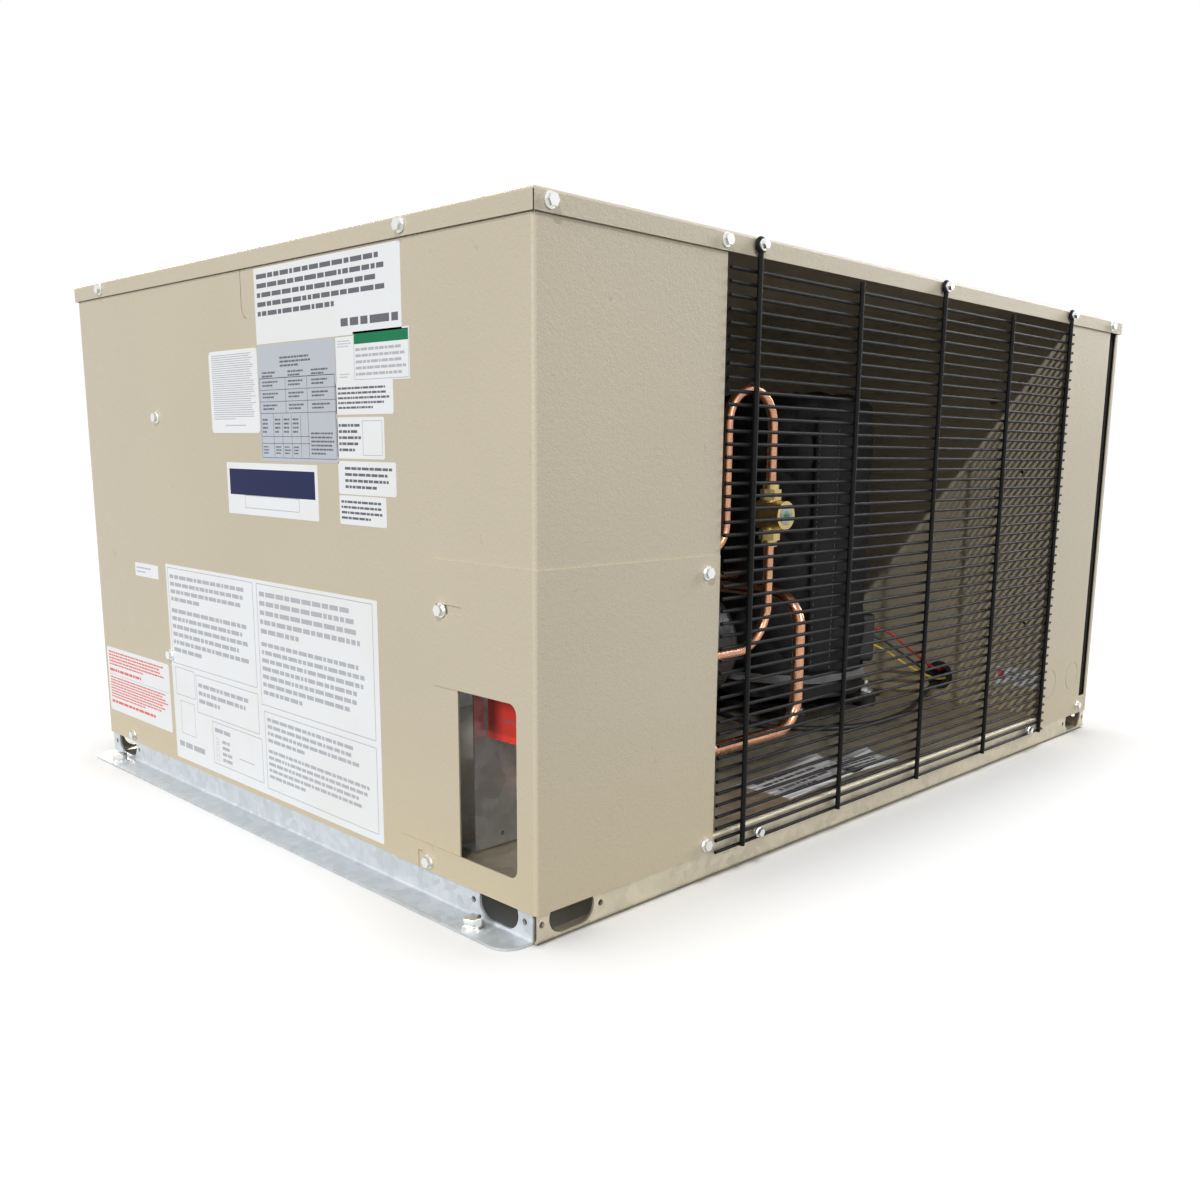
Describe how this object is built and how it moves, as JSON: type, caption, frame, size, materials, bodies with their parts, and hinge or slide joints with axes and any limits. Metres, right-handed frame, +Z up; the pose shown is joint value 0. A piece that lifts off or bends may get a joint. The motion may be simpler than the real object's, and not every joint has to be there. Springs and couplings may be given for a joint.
{
  "type": "refrigeration condensing unit",
  "caption": "Air-cooled refrigeration condensing unit: sheet-steel cabinet with wire guard, condenser coil and fan, jacketed compressor, receiver, copper piping and controls.",
  "frame": {"origin": "on the ground, at the centre of the four hold-down holes", "axes": "+X right along the wire-guard side, +Y from the guard to the coil, +Z up"},
  "size_m": [1.004, 0.7623, 0.514],
  "materials": {
    "casing_paint": "satin textured beige powder coat",
    "galvanised": "galvanised sheet, spangled",
    "guard_black": "black vinyl-dipped wire",
    "copper": "drawn copper tube",
    "brass": "machined brass",
    "black_paint": "black enamel",
    "jacket_fabric": "black quilted sound blanket",
    "strap": "grey webbing",
    "rubber": "black rubber",
    "wire_red": "red wire insulation",
    "wire_yellow": "yellow wire insulation",
    "wire_black": "black wire insulation",
    "fan_aluminium": "stamped aluminium",
    "fin_aluminium": "thin fin stock",
    "motor_paint": "black motor enamel",
    "shaft_steel": "ground steel",
    "black_plastic": "moulded black plastic",
    "grey_plastic": "moulded grey plastic",
    "can_aluminium": "drawn can",
    "button_red": "red button",
    "sight_lens": "sight glass window",
    "zinc_screws": "zinc plated"
  },
  "bodies": {
    "cabinet": {"base_pan": "galvanised", "left_foot_rail": "galvanised", "right_foot_rail": "galvanised", "lid": "casing_paint", "wrap_panel": "casing_paint", "piping_cover": "casing_paint", "right_front_panel": "casing_paint", "right_end_panel": "casing_paint", "rear_post": "casing_paint", "partition_panel": "casing_paint", "front_guard": "guard_black", "valve_bracket": "galvanised", "coil_fins": "fin_aluminium", "coil_end_plates": "galvanised", "coil_channels": "galvanised", "coil_return_bends": "copper", "fan_shroud": "galvanised", "fan_motor": "motor_paint", "fan_bracket": "galvanised", "compressor_shell": "black_paint", "compressor_feet": "black_paint", "compressor_grommets": "rubber", "compressor_bolts": "zinc_screws", "terminal_cover": "black_plastic", "compressor_jacket": "jacket_fabric", "jacket_strap": "strap", "receiver": "black_paint", "receiver_saddles": "galvanised", "liquid_line": "copper", "liquid_outlet_line": "copper", "suction_line": "copper", "discharge_line": "copper", "condensate_line": "copper", "receiver_outlet_line": "copper", "filter_drier": "black_paint", "sight_glass": "brass", "sight_glass_lens": "sight_lens", "liquid_valve": "brass", "suction_valve": "brass", "line_stubs": "copper", "valve_caps": "brass", "control_plate": "galvanised", "contactor": "black_plastic", "run_capacitor": "can_aluminium", "terminal_block": "black_plastic", "pressure_control": "grey_plastic", "harness_grommet": "rubber", "red_wire": "wire_red", "yellow_wire": "wire_yellow", "black_wire": "wire_black", "fan_lead": "wire_black", "lid_screws": "zinc_screws", "panel_screws": "zinc_screws", "guard_screws": "zinc_screws"},
    "fan": {"fan_shaft": "shaft_steel", "fan_blade": "fan_aluminium"},
    "liquid_stem": {"liquid_valve_stem": "brass"},
    "suction_stem": {"suction_valve_stem": "brass"},
    "armature": {"contactor_armature": "grey_plastic"},
    "reset": {"reset_button": "button_red"}
  },
  "joints": [
    {"name": "fan_spin", "type": "hinge", "parent": "cabinet", "child": "fan", "pos_m": [-0.06, 0.158, 0.27525], "axis": [0, 1, 0], "continuous": true},
    {"name": "liquid_stem_turn", "type": "hinge", "parent": "cabinet", "child": "liquid_stem", "pos_m": [-0.33, -0.3, 0.164], "axis": [0, -1, 0], "range_deg": [0, 90]},
    {"name": "suction_stem_turn", "type": "hinge", "parent": "cabinet", "child": "suction_stem", "pos_m": [-0.33, -0.3, 0.074], "axis": [0, -1, 0], "range_deg": [0, 90]},
    {"name": "armature_slide", "type": "slide", "parent": "cabinet", "child": "armature", "axis": [-1, 0, 0], "range_m": [0, 0.004], "stiffness_N_per_m": 400, "springref_m": -0.001},
    {"name": "reset_press", "type": "slide", "parent": "cabinet", "child": "reset", "axis": [-1, 0, 0], "range_m": [0, 0.004], "stiffness_N_per_m": 300, "springref_m": -0.001}
  ]
}
